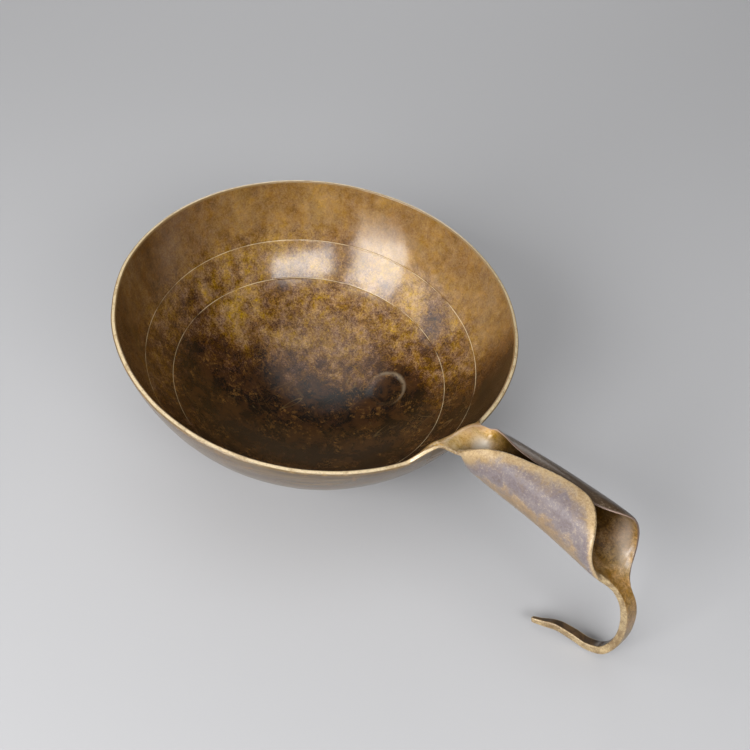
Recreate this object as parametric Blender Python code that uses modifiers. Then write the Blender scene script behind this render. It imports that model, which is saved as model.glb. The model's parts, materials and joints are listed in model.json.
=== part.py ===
"""Brass water dipper: a raised bowl, a handle rolled from the rim's tongue and a hanging hook.

The bowl's frame has its origin at the centre of the rim, +Z up the bowl's axis and +X along the
handle. The finished dipper is then tipped towards its handle, as it lies on a table.
"""

import math

import bmesh
import bpy
from mathutils import Vector
from mathutils.geometry import interpolate_bezier

# Driving dimensions, in metres and degrees

# Bowl: a spherical cap, measured inside
RIM_RADIUS = 0.100
BOWL_DEPTH = 0.0786
WALL = 0.0018
RIM_THICKNESS = 0.0024
RIM_FADE = 0.018
RIM_ROUND = 0.0005
FOOT_RADIUS = 0.016
LINE_DEPTHS = (0.0318, 0.0487)
LINE_WIDTH = 0.0008
LINE_CUT = 0.0002

# Neck: where the tongue leaves the rim, with a crest that leans and a mouth that starts the roll,
# each as wide from the middle line to its near and its far edge as is written
NECK_NEAR = 0.0172
NECK_FAR = 0.0110
NECK_ROOT = 0.0085
NECK_BEND = 0.0030
CREST_OUT = 0.0020
CREST_RISE = 0.0050
CREST_UPRIGHT = 90.0
CREST_NEAR_TURN = 24.0
CREST_FAR_TURN = -26.0
MOUTH_OUT = 0.0075
MOUTH_UPRIGHT = 92.0
MOUTH_NEAR = 0.0145
MOUTH_NEAR_TURN = 45.0
MOUTH_FAR = 0.0120
MOUTH_FAR_TURN = 42.0
THROAT_OUT = 0.0200
THROAT_DROP = 0.0036
THROAT_CLIMB = 10.0

# Shoulder: the rim drawn up beside the neck, to meet its near edge
SHOULDER_LIFT = 0.0081
SHOULDER_FLAT = 0.0025
SHOULDER_SPREAD = 0.0130
SHOULDER_DEPTH = 0.0150

# Handle: the tongue, rolled to an open tapered socket with its near flap lapped over the far one
SHEET = 0.0018
SOCKET_LENGTH = 0.085
SOCKET_RISE = 0.0045
SOCKET_CLIMB = 2.0
NEAR_RADIUS = 0.0104
FAR_RADIUS = 0.0152
LAP_CLEARANCE = 0.0005
LAP_STARTS = 110.0
LAP_FULL = 170.0
TONGUE_REACH = 0.0135
TONGUE_RISE = 0.0016
TONGUE_FALL = -33.0
TONGUE_WIDTH = 0.0066
FAR_FLAP_LEAD = 0.0035

# Sections of the roll. Each has its place as a share of the tongue's length and the angle of its
# upright, the place and the turn of the near flap's edge, and the place and the turn of the far
# flap's edge, with the share of the far flap's lead
ROLL_SECTIONS = (
    (0.12, 96, 0.12, 88, 0.12, 84, 0),
    (0.20, 98, 0.20, 132, 0.20, 136, 0),
    (0.32, 98, 0.32, 158, 0.32, 166, 0),
    (0.46, 97, 0.46, 171, 0.46, 176, 0),
    (0.62, 96, 0.62, 182, 0.62, 182, 0),
    (0.75, 95, 0.74, 180, 0.74, 180, 0.5),
    (0.84, 93, 0.825, 158, 0.83, 160, 1),
    (0.90, 90, 0.865, 122, 0.875, 118, 1),
    (0.93, 85, 0.875, 92, 0.895, 78, 1),
    (0.955, 78, 0.90, 57, 0.925, 46, 1),
    (0.98, 68, 0.95, 25, 0.965, 24, 1),
)

# Hook: the tongue's end, drawn out to a bar, measured from the tongue's end
HOOK_BAR_WIDTH = 0.0056
HOOK_BAR_THICKNESS = 0.0046
HOOK_TIP_WIDTH = 0.0026
HOOK_TIP_THICKNESS = 0.0030
HOOK_OUT = 0.0110
HOOK_HALF_DROP = 0.0250
HOOK_DROP = 0.0445
HOOK_BACK = 0.0005
HOOK_RETURN = 0.0240
HOOK_TIP_DIP = 0.0052
HOOK_TIP_HEADING = -158.0
HOOK_EDGE_SHARE = 0.35
HOOK_BOTTOM_VEER = -0.0030
HOOK_TIP_VEER = -0.0145

# Clearance between the stretches of sheet
FIT_GAP = 0.0003

# Smoothness
BOWL_SEGMENTS = 120
BOWL_RINGS = 9
ROWS_PER_STATION = 3
HALF_COLUMNS = 10
HOOK_RINGS = 30
BEND_STEPS = 24
BEND_REACH = 0.4
HOOK_REACH = 0.5
SHARP_ANGLE = 40.0
FLATTEST_TURN = 0.05
MERGE_DISTANCE = 0.00001

# The search for the tip at which the bowl and the hook both touch the table
STEEPEST_TIP = 45.0
TIP_STEP = 1e-9

# Finish of each stretch: colour and roughness
BOWL_FINISH = ((0.26, 0.15, 0.06), 0.42)
HANDLE_FINISH = ((0.42, 0.27, 0.11), 0.38)
HOOK_FINISH = ((0.50, 0.34, 0.15), 0.36)

# Sizes that follow
SPHERE_INSIDE = (RIM_RADIUS ** 2 + BOWL_DEPTH ** 2) / (2 * BOWL_DEPTH)
SPHERE_MIDDLE = SPHERE_INSIDE + SHEET / 2
SPHERE_OUTSIDE = SPHERE_INSIDE + WALL
SPHERE_HEIGHT = SPHERE_INSIDE - BOWL_DEPTH
RIM_ANGLE = math.asin(SPHERE_HEIGHT / SPHERE_INSIDE)
NOTCH_ANGLE = RIM_ANGLE + NECK_ROOT / SPHERE_MIDDLE
ROOT_ANGLE = NOTCH_ANGLE - FIT_GAP / SPHERE_MIDDLE
BEND_ANGLE = RIM_ANGLE + NECK_BEND / SPHERE_MIDDLE
TONGUE_LENGTH = SOCKET_LENGTH + TONGUE_REACH
TONGUE_END = Vector((RIM_RADIUS + TONGUE_LENGTH, 0, TONGUE_RISE))


def clear_scene():
    for scene_object in list(bpy.data.objects):
        bpy.data.objects.remove(scene_object, do_unlink=True)


def new_collection(name):
    collection = bpy.data.collections.new(name)
    bpy.context.scene.collection.children.link(collection)
    return collection


def brass(name, colour, roughness):
    material = bpy.data.materials.new(name)
    material.use_nodes = True
    shader = material.node_tree.nodes["Principled BSDF"]
    shader.inputs["Base Color"].default_value = (*colour, 1)
    shader.inputs["Metallic"].default_value = 1
    shader.inputs["Roughness"].default_value = roughness
    return material


def mesh_object(name, collection, vertices, edges, faces):
    mesh = bpy.data.meshes.new(name)
    mesh.from_pydata(vertices, edges, faces)
    made = bpy.data.objects.new(name, mesh)
    collection.objects.link(made)
    return made


def ease(value):
    """Rises smoothly from 0 to 1 while value goes from 0 to 1."""
    value = min(max(value, 0), 1)
    return value * value * (3 - 2 * value)


def between(stations, position):
    """A smooth curve through evenly numbered stations, read at a fractional position."""
    last = len(stations) - 1
    index = min(int(position), last - 1)
    part = position - index
    one, two = stations[index], stations[index + 1]
    before = stations[index - 1] if index > 0 else 2 * one - two
    after = stations[index + 2] if index + 2 <= last else 2 * two - one
    slope_one = (two - before) / 2
    slope_two = (after - one) / 2
    bend = 3 * (two - one) - 2 * slope_one - slope_two
    twist = 2 * (one - two) + slope_one + slope_two
    return one + part * (slope_one + part * (bend + part * twist))


def heading(angle):
    """Direction in the plane of symmetry, at an angle in degrees above +X."""
    return Vector((math.cos(math.radians(angle)), 0, math.sin(math.radians(angle))))


def bend(start, start_angle, end, end_angle, reach=BEND_REACH):
    """Points of a smooth bend from one place and heading to another."""
    arm = (end - start).length * reach
    first = start + heading(start_angle) * arm
    second = end - heading(end_angle) * arm
    return interpolate_bezier(start, first, second, end, BEND_STEPS)


class Path:
    """A chain of points that is read by distance from its start."""

    def __init__(self, points):
        self.points = [points[0]]
        self.distances = [0.0]
        for point in points[1:]:
            step = (point - self.points[-1]).length
            if step > 0:
                self.points.append(point)
                self.distances.append(self.distances[-1] + step)
        self.length = self.distances[-1]

    def at(self, distance):
        index = 0
        while index < len(self.points) - 2 and self.distances[index + 1] < distance:
            index += 1
        span = self.distances[index + 1] - self.distances[index]
        part = (distance - self.distances[index]) / span
        return self.points[index].lerp(self.points[index + 1], part)

    def direction(self, distance):
        step = self.length / len(self.points)
        low = max(distance - step, 0)
        high = min(distance + step, self.length)
        return (self.at(high) - self.at(low)).normalized()


def cap_point(distance, angle):
    """A point of the bowl's profile: distance from the sphere's centre, angle below level."""
    return Vector((distance * math.cos(angle), 0, SPHERE_HEIGHT - distance * math.sin(angle)))


def bowl_profile():
    """Half section of the bowl: up the inside, over the rim, down the outside."""
    foot_height = SPHERE_HEIGHT - math.sqrt(SPHERE_OUTSIDE ** 2 - FOOT_RADIUS ** 2)
    floor_height = foot_height + WALL
    floor_radius = math.sqrt(SPHERE_INSIDE ** 2 - (SPHERE_HEIGHT - floor_height) ** 2)
    floor_angle = math.acos(floor_radius / SPHERE_INSIDE)
    foot_angle = math.acos(FOOT_RADIUS / SPHERE_OUTSIDE)
    half_line = LINE_WIDTH / 2 / SPHERE_INSIDE
    corner = RIM_ROUND / SPHERE_INSIDE

    inside = []
    for ring in range(1, BOWL_RINGS + 1):
        angle = floor_angle + (RIM_ANGLE + corner - floor_angle) * ring / BOWL_RINGS
        inside.append((angle, SPHERE_INSIDE))
    for depth in LINE_DEPTHS:
        middle = math.asin((SPHERE_HEIGHT + depth) / SPHERE_INSIDE)
        inside = [point for point in inside if abs(point[0] - middle) > 2 * half_line]
        inside.append((middle + half_line, SPHERE_INSIDE))
        inside.append((middle, SPHERE_INSIDE + LINE_CUT))
        inside.append((middle - half_line, SPHERE_INSIDE))
    inside.sort(reverse=True)

    profile = [Vector((0, 0, floor_height)), Vector((floor_radius, 0, floor_height))]
    profile += [cap_point(distance, angle) for angle, distance in inside]
    profile.append(cap_point(SPHERE_INSIDE + RIM_ROUND, RIM_ANGLE))
    profile.append(cap_point(SPHERE_INSIDE + RIM_THICKNESS - RIM_ROUND, RIM_ANGLE))
    for ring in range(BOWL_RINGS + 1):
        angle = RIM_ANGLE + corner + (foot_angle - RIM_ANGLE - corner) * ring / BOWL_RINGS
        fade = 1 - ease((angle - RIM_ANGLE) * SPHERE_INSIDE / RIM_FADE)
        profile.append(cap_point(SPHERE_OUTSIDE + (RIM_THICKNESS - WALL) * fade, angle))
    profile.append(Vector((0, 0, foot_height)))
    return profile


def notch_cutter(collection):
    """A block that opens the rim where the tongue leaves it, square to the wall."""
    bpy.ops.mesh.primitive_cube_add(size=1)
    cutter = bpy.context.object
    cutter.name = "neck_notch"
    for owner in list(cutter.users_collection):
        owner.objects.unlink(cutter)
    collection.objects.link(cutter)
    for vertex in cutter.data.vertices:
        vertex.co.x = (vertex.co.x + 1) * SPHERE_OUTSIDE
        vertex.co.y *= NECK_NEAR + NECK_FAR + 2 * FIT_GAP
        vertex.co.y += (NECK_FAR - NECK_NEAR) / 2
        vertex.co.z = (vertex.co.z + 0.5) * SPHERE_OUTSIDE
    cutter.location = (0, 0, SPHERE_HEIGHT)
    cutter.rotation_euler = (0, NOTCH_ANGLE, 0)
    cutter.hide_render = True
    cutter.display_type = "WIRE"
    return cutter


def turned_bowl(parts):
    profile = bowl_profile()
    edges = [(index, index + 1) for index in range(len(profile) - 1)]
    turned = mesh_object("turned_bowl", parts, profile, edges, [])
    screw = turned.modifiers.new("turned", "SCREW")
    screw.steps = BOWL_SEGMENTS
    screw.render_steps = BOWL_SEGMENTS
    screw.use_merge_vertices = True
    screw.merge_threshold = MERGE_DISTANCE
    mesh = bpy.data.meshes.new_from_object(turned.evaluated_get(bpy.context.evaluated_depsgraph_get()))
    bpy.data.objects.remove(turned, do_unlink=True)
    return mesh


def draw_up_shoulder(mesh):
    """Slides the wall up its own sphere on the neck's near side, most at the rim."""
    centre = Vector((0, 0, SPHERE_HEIGHT))
    for vertex in mesh.vertices:
        arm = vertex.co - centre
        level = math.hypot(arm.x, arm.y)
        depth = (math.atan2(-arm.z, level) - RIM_ANGLE) * SPHERE_INSIDE
        beside = -math.atan2(arm.y, arm.x) * RIM_RADIUS - NECK_NEAR
        if depth > SHOULDER_DEPTH or beside > SHOULDER_SPREAD or arm.y > 0:
            continue
        along = (beside - SHOULDER_FLAT) / (SHOULDER_SPREAD - SHOULDER_FLAT)
        share = (1 - ease(along)) * (1 - ease(depth / SHOULDER_DEPTH))
        raised = math.atan2(arm.z, level) + share * SHOULDER_LIFT / SPHERE_INSIDE
        reach = arm.length * math.cos(raised) / level
        height = arm.length * math.sin(raised)
        vertex.co = centre + Vector((arm.x * reach, arm.y * reach, height))


def make_bowl(parts, cutters):
    mesh = turned_bowl(parts)
    draw_up_shoulder(mesh)
    mesh.name = "bowl"
    bowl = bpy.data.objects.new("bowl", mesh)
    parts.objects.link(bowl)
    notch = bowl.modifiers.new("notch", "BOOLEAN")
    notch.operation = "DIFFERENCE"
    notch.solver = "EXACT"
    notch.object = notch_cutter(cutters)
    bowl.data.materials.append(brass("bowl_brass", *BOWL_FINISH))
    return bowl


def keel_path():
    """The tongue's middle line: up the wall, over the crest, along the socket's floor.

    Gives the path, and the distances along it of the lip's start and of the crest.
    """
    crest = Vector((RIM_RADIUS + CREST_OUT, 0, CREST_RISE))
    throat = Vector((RIM_RADIUS + THROAT_OUT, 0, -THROAT_DROP))
    far = Vector((RIM_RADIUS + SOCKET_LENGTH, 0, SOCKET_RISE))
    wall = [cap_point(SPHERE_MIDDLE, ROOT_ANGLE), cap_point(SPHERE_MIDDLE, BEND_ANGLE)]
    wall_lean = 90 - math.degrees(BEND_ANGLE)
    lip = bend(wall[-1], wall_lean, crest, 0)
    dip = bend(crest, 0, throat, THROAT_CLIMB)
    floor = bend(throat, THROAT_CLIMB, far, SOCKET_CLIMB)
    fall = bend(far, SOCKET_CLIMB, TONGUE_END, TONGUE_FALL)
    lip_start = Path(wall).length
    crest_place = Path(wall + lip).length
    return Path(wall + lip + dip + floor + fall), lip_start, crest_place


def tongue_stations(keel, lip_start, crest_place):
    """Sections of the tongue, from its root in the rim to the hook.

    Each is the distance along the keel and the angle of the section's upright, then for the near
    and the far flap the distance along the keel of its edge, the angle that it is rolled through,
    and its width on the flat sheet.
    """
    near_wall = (NECK_NEAR, math.degrees(NECK_NEAR / SPHERE_MIDDLE))
    far_wall = (NECK_FAR, math.degrees(NECK_FAR / SPHERE_MIDDLE))
    near_crest = (NECK_NEAR, CREST_NEAR_TURN)
    far_crest = (NECK_FAR, CREST_FAR_TURN)
    near_mouth = (MOUTH_NEAR, MOUTH_NEAR_TURN)
    far_mouth = (MOUTH_FAR, MOUTH_FAR_TURN)
    wall_upright = 180 - math.degrees(BEND_ANGLE)
    root_upright = 180 - math.degrees(ROOT_ANGLE)
    end_upright = 90 + TONGUE_FALL
    end = keel.length - FIT_GAP
    half_tongue = TONGUE_WIDTH / 2

    def radius(place):
        return NEAR_RADIUS + (FAR_RADIUS - NEAR_RADIUS) * place / TONGUE_LENGTH

    tongue_end = (half_tongue, math.degrees(half_tongue / radius(TONGUE_LENGTH)))

    def plain(place, upright, near, far):
        near_width, near_turn = near
        far_width, far_turn = far
        return Vector((place, upright, place, near_turn, near_width, place, far_turn, far_width))

    def rolled(share, upright, near_share, near_turn, far_share, far_turn, lead):
        near_place = near_share * TONGUE_LENGTH
        far_place = far_share * TONGUE_LENGTH + lead * FAR_FLAP_LEAD
        near = (crest_place + near_place, near_turn, math.radians(near_turn) * radius(near_place))
        far = (crest_place + far_place, far_turn, math.radians(far_turn) * radius(far_place))
        return Vector((crest_place + share * TONGUE_LENGTH, upright, *near, *far))

    neck = [
        plain(0, root_upright, near_wall, far_wall),
        plain(lip_start, wall_upright, near_wall, far_wall),
        plain(crest_place, CREST_UPRIGHT, near_crest, far_crest),
        plain(crest_place + MOUTH_OUT, MOUTH_UPRIGHT, near_mouth, far_mouth),
    ]
    roll = [rolled(*section) for section in ROLL_SECTIONS]
    return neck + roll + [plain(end, end_upright, tongue_end, tongue_end)]


def tongue_point(centre, upright, turn, width, share, lift):
    """A point of the rolled sheet, a share of the way from the keel to a flap's edge.

    The lift carries one flap clear of the other where they lap. Gives the point in the plane of
    symmetry, and its distance to the side.
    """
    turn = turn if abs(turn) > FLATTEST_TURN else FLATTEST_TURN
    lapped = ease((turn * share - LAP_STARTS) / (LAP_FULL - LAP_STARTS))
    angle = math.radians(turn)
    radius = width / angle
    side = (radius + lift * lapped) * math.sin(angle * share)
    rise = radius - (radius + lift * lapped) * math.cos(angle * share)
    return centre + heading(upright) * rise, side


def make_handle(parts):
    keel, lip_start, crest_place = keel_path()
    stations = tongue_stations(keel, lip_start, crest_place)
    lap = (SHEET + LAP_CLEARANCE) / 2
    rows = (len(stations) - 1) * ROWS_PER_STATION
    vertices = []
    for row in range(rows + 1):
        station = between(stations, row / ROWS_PER_STATION)
        middle, upright = station[0:2]
        for column in range(-HALF_COLUMNS, HALF_COLUMNS + 1):
            share = abs(column) / HALF_COLUMNS
            near = column < 0
            edge, turn, width = station[2:5] if near else station[5:8]
            centre = keel.at(middle + (edge - middle) * share ** 2)
            point, side = tongue_point(centre, upright, turn, width, share, lap if near else -lap)
            vertices.append(point + Vector((0, -side if near else side, 0)))
    across = 2 * HALF_COLUMNS + 1
    faces = []
    for row in range(rows):
        for column in range(across - 1):
            corner = row * across + column
            faces.append((corner, corner + 1, corner + across + 1, corner + across))
    handle = mesh_object("handle", parts, vertices, [], faces)
    solid = handle.modifiers.new("sheet", "SOLIDIFY")
    solid.thickness = SHEET
    solid.offset = 0
    handle.data.materials.append(brass("handle_brass", *HANDLE_FINISH))
    return handle


def hook_path():
    """The bar's middle line: out and down from the tongue, then back under it to the tip."""
    outer = TONGUE_END + Vector((HOOK_OUT, 0, -HOOK_HALF_DROP))
    bottom = TONGUE_END + Vector((HOOK_BACK, 0, -HOOK_DROP))
    tip = bottom + Vector((-HOOK_RETURN, 0, -HOOK_TIP_DIP))
    points = bend(TONGUE_END, TONGUE_FALL, outer, -90)
    points += bend(outer, -90, bottom, -180, HOOK_REACH)
    points += bend(bottom, -180, tip, HOOK_TIP_HEADING, HOOK_REACH)
    return Path(points)


def bar_outline(width, thickness):
    """Corners of a flat bar with its edges taken off, as side and height."""
    half_width, half_thickness = width / 2, thickness / 2
    off = min(half_width, half_thickness) * HOOK_EDGE_SHARE
    quarter = [(half_width, half_thickness - off), (half_width - off, half_thickness)]
    half = quarter + [(-side, height) for side, height in reversed(quarter)]
    return half + [(-side, -height) for side, height in half]


def make_hook(parts):
    path = hook_path()
    widths = [TONGUE_WIDTH] + 4 * [HOOK_BAR_WIDTH] + [HOOK_TIP_WIDTH]
    thicknesses = [SHEET] + 4 * [HOOK_BAR_THICKNESS] + [HOOK_TIP_THICKNESS]
    veers = [0, 0, 0, HOOK_BOTTOM_VEER, (HOOK_BOTTOM_VEER + HOOK_TIP_VEER) / 2, HOOK_TIP_VEER]
    rings = []
    bm = bmesh.new()
    for ring in range(HOOK_RINGS + 1):
        share = ring / HOOK_RINGS
        place = share * path.length
        stage = share * (len(widths) - 1)
        along = path.direction(place)
        up = Vector((-along.z, 0, along.x))
        centre = path.at(place) + Vector((0, between(veers, stage), 0))
        outline = bar_outline(between(widths, stage), between(thicknesses, stage))
        corners = [centre + up * height + Vector((0, side, 0)) for side, height in outline]
        rings.append([bm.verts.new(corner) for corner in corners])
    for one, two in zip(rings, rings[1:]):
        for index in range(len(one)):
            following = (index + 1) % len(one)
            bm.faces.new((one[index], one[following], two[following], two[index]))
    bm.faces.new(rings[0])
    bm.faces.new(rings[-1])
    bmesh.ops.recalc_face_normals(bm, faces=bm.faces)
    hook = mesh_object("hook", parts, [], [], [])
    bm.to_mesh(hook.data)
    bm.free()
    hook.data.materials.append(brass("hook_brass", *HOOK_FINISH))
    return hook


def finished_corners(pieces):
    """Every corner of each finished piece, in the bowl's frame."""
    bpy.context.view_layer.update()
    graph = bpy.context.evaluated_depsgraph_get()
    corners = {}
    for piece in pieces:
        finished = piece.evaluated_get(graph).data
        corners[piece.name] = [vertex.co.copy() for vertex in finished.vertices]
    return corners


def lay_on_table(pieces, stand):
    """Tips the dipper until the bowl and the hook both touch the table, and centres it there."""
    corners = finished_corners(pieces)

    def height(point, tip):
        return point.z * math.cos(tip) - point.x * math.sin(tip)

    def lowest(points, tip):
        return min(height(point, tip) for point in points)

    level, steep = 0.0, math.radians(STEEPEST_TIP)
    while steep - level > TIP_STEP:
        tip = (level + steep) / 2
        if lowest(corners["hook"], tip) > lowest(corners["bowl"], tip):
            level = tip
        else:
            steep = tip
    everything = [point for points in corners.values() for point in points]
    forward = [point.x * math.cos(tip) + point.z * math.sin(tip) for point in everything]
    across = [point.y for point in everything]
    stand.rotation_euler = (0, tip, 0)
    stand.location.x = -(min(forward) + max(forward)) / 2
    stand.location.y = -(min(across) + max(across)) / 2
    stand.location.z = -lowest(everything, tip)


def main():
    clear_scene()
    parts = new_collection("water_dipper")
    cutters = new_collection("cutters")
    stand = bpy.data.objects.new("dipper", None)
    parts.objects.link(stand)
    pieces = [make_bowl(parts, cutters), make_handle(parts), make_hook(parts)]
    lay_on_table(pieces, stand)
    for piece in pieces:
        piece.parent = stand
        piece.data.shade_smooth()
        piece.data.set_sharp_from_angle(angle=math.radians(SHARP_ANGLE))
    for cutter in cutters.objects:
        cutter.parent = stand


main()
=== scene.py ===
"""Looks of the brass water dipper: one beaten sheet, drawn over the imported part.

The sheet is a single surface that runs from the bowl over the neck and the rolled handle to the
hook. It is given its thickness, rounded at its free edge, and then parted into the three pieces
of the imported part. The bowl's frame has its origin at the centre of the rim, +Z up the bowl's axis
and +X along the handle. The near side is the one towards -Y.
"""

import json
import math

import bpy
import numpy as np
from mathutils import Matrix, Vector, noise


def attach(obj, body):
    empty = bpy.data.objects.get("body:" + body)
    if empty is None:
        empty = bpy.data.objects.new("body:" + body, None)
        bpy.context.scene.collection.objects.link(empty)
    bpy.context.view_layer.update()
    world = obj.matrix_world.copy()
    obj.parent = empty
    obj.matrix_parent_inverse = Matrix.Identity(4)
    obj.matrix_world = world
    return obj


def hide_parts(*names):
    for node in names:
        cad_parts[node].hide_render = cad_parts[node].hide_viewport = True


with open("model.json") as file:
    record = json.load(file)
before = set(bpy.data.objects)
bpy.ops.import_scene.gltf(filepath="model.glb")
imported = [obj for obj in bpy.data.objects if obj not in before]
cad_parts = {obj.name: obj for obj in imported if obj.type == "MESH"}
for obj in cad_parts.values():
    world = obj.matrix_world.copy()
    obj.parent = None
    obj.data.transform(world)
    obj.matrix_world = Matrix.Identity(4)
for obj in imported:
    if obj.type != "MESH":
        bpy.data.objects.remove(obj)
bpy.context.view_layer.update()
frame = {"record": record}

# Bowl's shape: a spherical cap, measured inside, in metres and degrees
RIM_RADIUS = 0.1
BOWL_DEPTH = 0.0786
WALL = 0.0018
RIM_THICKNESS = 0.0024
RIM_FADE = 0.018
FOOT_RADIUS = 0.016
FOOT_BLEND = 0.0001
LINE_DEPTHS = (0.0318, 0.0487)
LINE_WIDTH = 0.0008
LINE_CUT = 0.0002

# Neck, with each width from the middle line to an edge
NECK_NEAR = 0.0172
NECK_FAR = 0.011
NECK_ROOT = 0.0085
NECK_BEND = 0.003
CREST_OUT = 0.002
CREST_RISE = 0.005
CREST_UPRIGHT = 90.0
CREST_NEAR_TURN = 24.0
CREST_FAR_TURN = -26.0
MOUTH_OUT = 0.0075
MOUTH_UPRIGHT = 92.0
MOUTH_NEAR = 0.0145
MOUTH_NEAR_TURN = 45.0
MOUTH_FAR = 0.012
MOUTH_FAR_TURN = 42.0
THROAT_OUT = 0.02
THROAT_DROP = 0.0036
THROAT_CLIMB = 10.0

# Shoulder: the rim drawn up beside the neck, and how the rim joins the tongue's edges
SHOULDER_LIFT = 0.0081
SHOULDER_FLAT = 0.0025
SHOULDER_SPREAD = 0.013
SHOULDER_DEPTH = 0.015
NEAR_JOIN = 0.008
FAR_JOIN = 0.005
CORNER_ROUND = 0.003
CORNER_PASSES = 4

# Handle, with turns in degrees
SHEET = 0.0018
SOCKET_LENGTH = 0.085
SOCKET_RISE = 0.0045
SOCKET_CLIMB = 2.0
NEAR_RADIUS = 0.0104
FAR_RADIUS = 0.0152
LAP_CLEARANCE = 0.0005
LAP_STARTS = 40.0
LAP_FULL = 178.0
TONGUE_REACH = 0.0135
TONGUE_RISE = 0.0016
TONGUE_FALL = -33.0
TONGUE_WIDTH = 0.0066
FAR_FLAP_LEAD = 0.0035

# Sections of the roll: place, upright, near place and turn, far place and turn, share of the far lead
ROLL_SECTIONS = (
    (0.12, 96, 0.12, 88, 0.12, 84, 0),
    (0.2, 98, 0.2, 132, 0.2, 136, 0),
    (0.32, 98, 0.32, 158, 0.32, 166, 0),
    (0.46, 97, 0.46, 171, 0.46, 176, 0),
    (0.62, 96, 0.62, 182, 0.62, 182, 0),
    (0.75, 95, 0.74, 180, 0.74, 180, 0.5),
    (0.84, 93, 0.825, 158, 0.83, 160, 1),
    (0.9, 90, 0.865, 122, 0.875, 118, 1),
    (0.93, 85, 0.875, 92, 0.895, 78, 1),
    (0.955, 78, 0.9, 57, 0.925, 46, 1),
    (0.98, 68, 0.95, 25, 0.965, 24, 1),
)

# Hook: its middle line along X and Z from the tongue's end, and sizes and veers at even steps along it
HOOK_POINTS = (
    (0, 0), (0.0052, -0.0043), (0.0087, -0.0106), (0.0106, -0.0179),
    (0.0115, -0.0254), (0.0109, -0.033), (0.0081, -0.0402), (0.0018, -0.0434),
    (-0.0054, -0.0423), (-0.0122, -0.0416), (-0.0184, -0.0438), (-0.0229, -0.0451),
)
HOOK_WIDTHS = (TONGUE_WIDTH, 0.0074, 0.0066, 0.0056, 0.0048, 0.0042, 0.0022)
HOOK_THICKNESSES = (0.0032, 0.0037, 0.0036, 0.0037, 0.0042, 0.0042, 0.0028)
HOOK_VEERS = (0, 0, 0, -0.0016, -0.0046, -0.0092, -0.015)
HOOK_FLAT_STEP = 0.5

# Beaten unevenness: waves and hammer marks towards the inside, a wavering rim, and a knock in the floor
WAVE_DEPTH = 0.0005
WAVE_SIZE = 0.03
HAMMER_DEPTH = 0.00018
HAMMER_SIZE = 0.009
TONGUE_HAMMER = 0.3
RIM_WAVER = 0.0007
RIM_WAVER_SIZE = 0.035
KNOCK_PLACE = (0.0219, 0.0386, -0.0685)
# KNOCK_HOLLOW and the two blurs place the painted highlight on the knock's edge
KNOCK_HOLLOW = (0.0218, 0.0367, -0.0693)
KNOCK_RADIUS = 0.0115
KNOCK_DEPTH = 0.0007
KNOCK_EDGE = 0.0032
KNOCK_BLUR = 0.001
HOLLOW_BLUR = 0.0012

# Thickness past the crest: rows over which the sheet thickens into the hook, and the thinner far edge
ROOT_ROWS = 40
FAR_ROOT_ROWS = 14
FAR_THINNING = 0.5
FAR_THIN_START = 0.02
FAR_THIN_REACH = 0.006

# Fineness and evenness of the sheet, and its rounded edge
HALF_COLUMNS = 24
COLUMN_CROWDING = 1.5
RIM_COLUMNS = 260
BOWL_RING_STEP = 0.0015
FIRST_RING = 0.0015
LINE_RINGS = (-0.75, -0.4, 0, 0.4, 0.75)
ROWS_PER_STATION = 8
HOOK_ROWS = 90
HOOK_PATH_STEPS = 240
BEND_STEPS = 80
BEND_REACH = 0.4
FLATTEST_TURN = 0.05
CREST_STATION = 2
MOUTH_EASED_STATIONS = 4
MOUTH_PASSES = 40
FLAP_END_STATION = 9
FLAP_END_PASSES = 60
HOOK_JOIN_ROWS = (36, 12)
HOOK_JOIN_PASSES = 80
EDGE_ROUND = 0.0007
EDGE_SHARE = 0.9
EDGE_STEPS = 4

# Sizes that follow
SPHERE_INSIDE = (RIM_RADIUS ** 2 + BOWL_DEPTH ** 2) / (2 * BOWL_DEPTH)
SPHERE_MIDDLE = SPHERE_INSIDE + SHEET / 2
SPHERE_OUTSIDE = SPHERE_INSIDE + WALL
SPHERE_HEIGHT = SPHERE_INSIDE - BOWL_DEPTH
RIM_ANGLE = math.asin(SPHERE_HEIGHT / SPHERE_INSIDE)
ROOT_ANGLE = RIM_ANGLE + NECK_ROOT / SPHERE_MIDDLE
BEND_ANGLE = RIM_ANGLE + NECK_BEND / SPHERE_MIDDLE
FOOT_HEIGHT = SPHERE_HEIGHT - math.sqrt(SPHERE_OUTSIDE ** 2 - FOOT_RADIUS ** 2)
TONGUE_LENGTH = SOCKET_LENGTH + TONGUE_REACH
END_TURN = TONGUE_WIDTH / 2 / FAR_RADIUS
TONGUE_END = np.array((RIM_RADIUS + TONGUE_LENGTH, TONGUE_RISE))
NEAR_ANGLE = math.asin(NECK_NEAR / RIM_RADIUS)
FAR_ANGLE = math.asin(NECK_FAR / RIM_RADIUS)
COLLAR_ROWS = CREST_STATION * ROWS_PER_STATION
LINE_ANGLES = [math.asin((SPHERE_HEIGHT + line) / SPHERE_INSIDE) for line in LINE_DEPTHS]
LINE_PLACES = [(angle - RIM_ANGLE) * SPHERE_INSIDE for angle in LINE_ANGLES]
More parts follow.
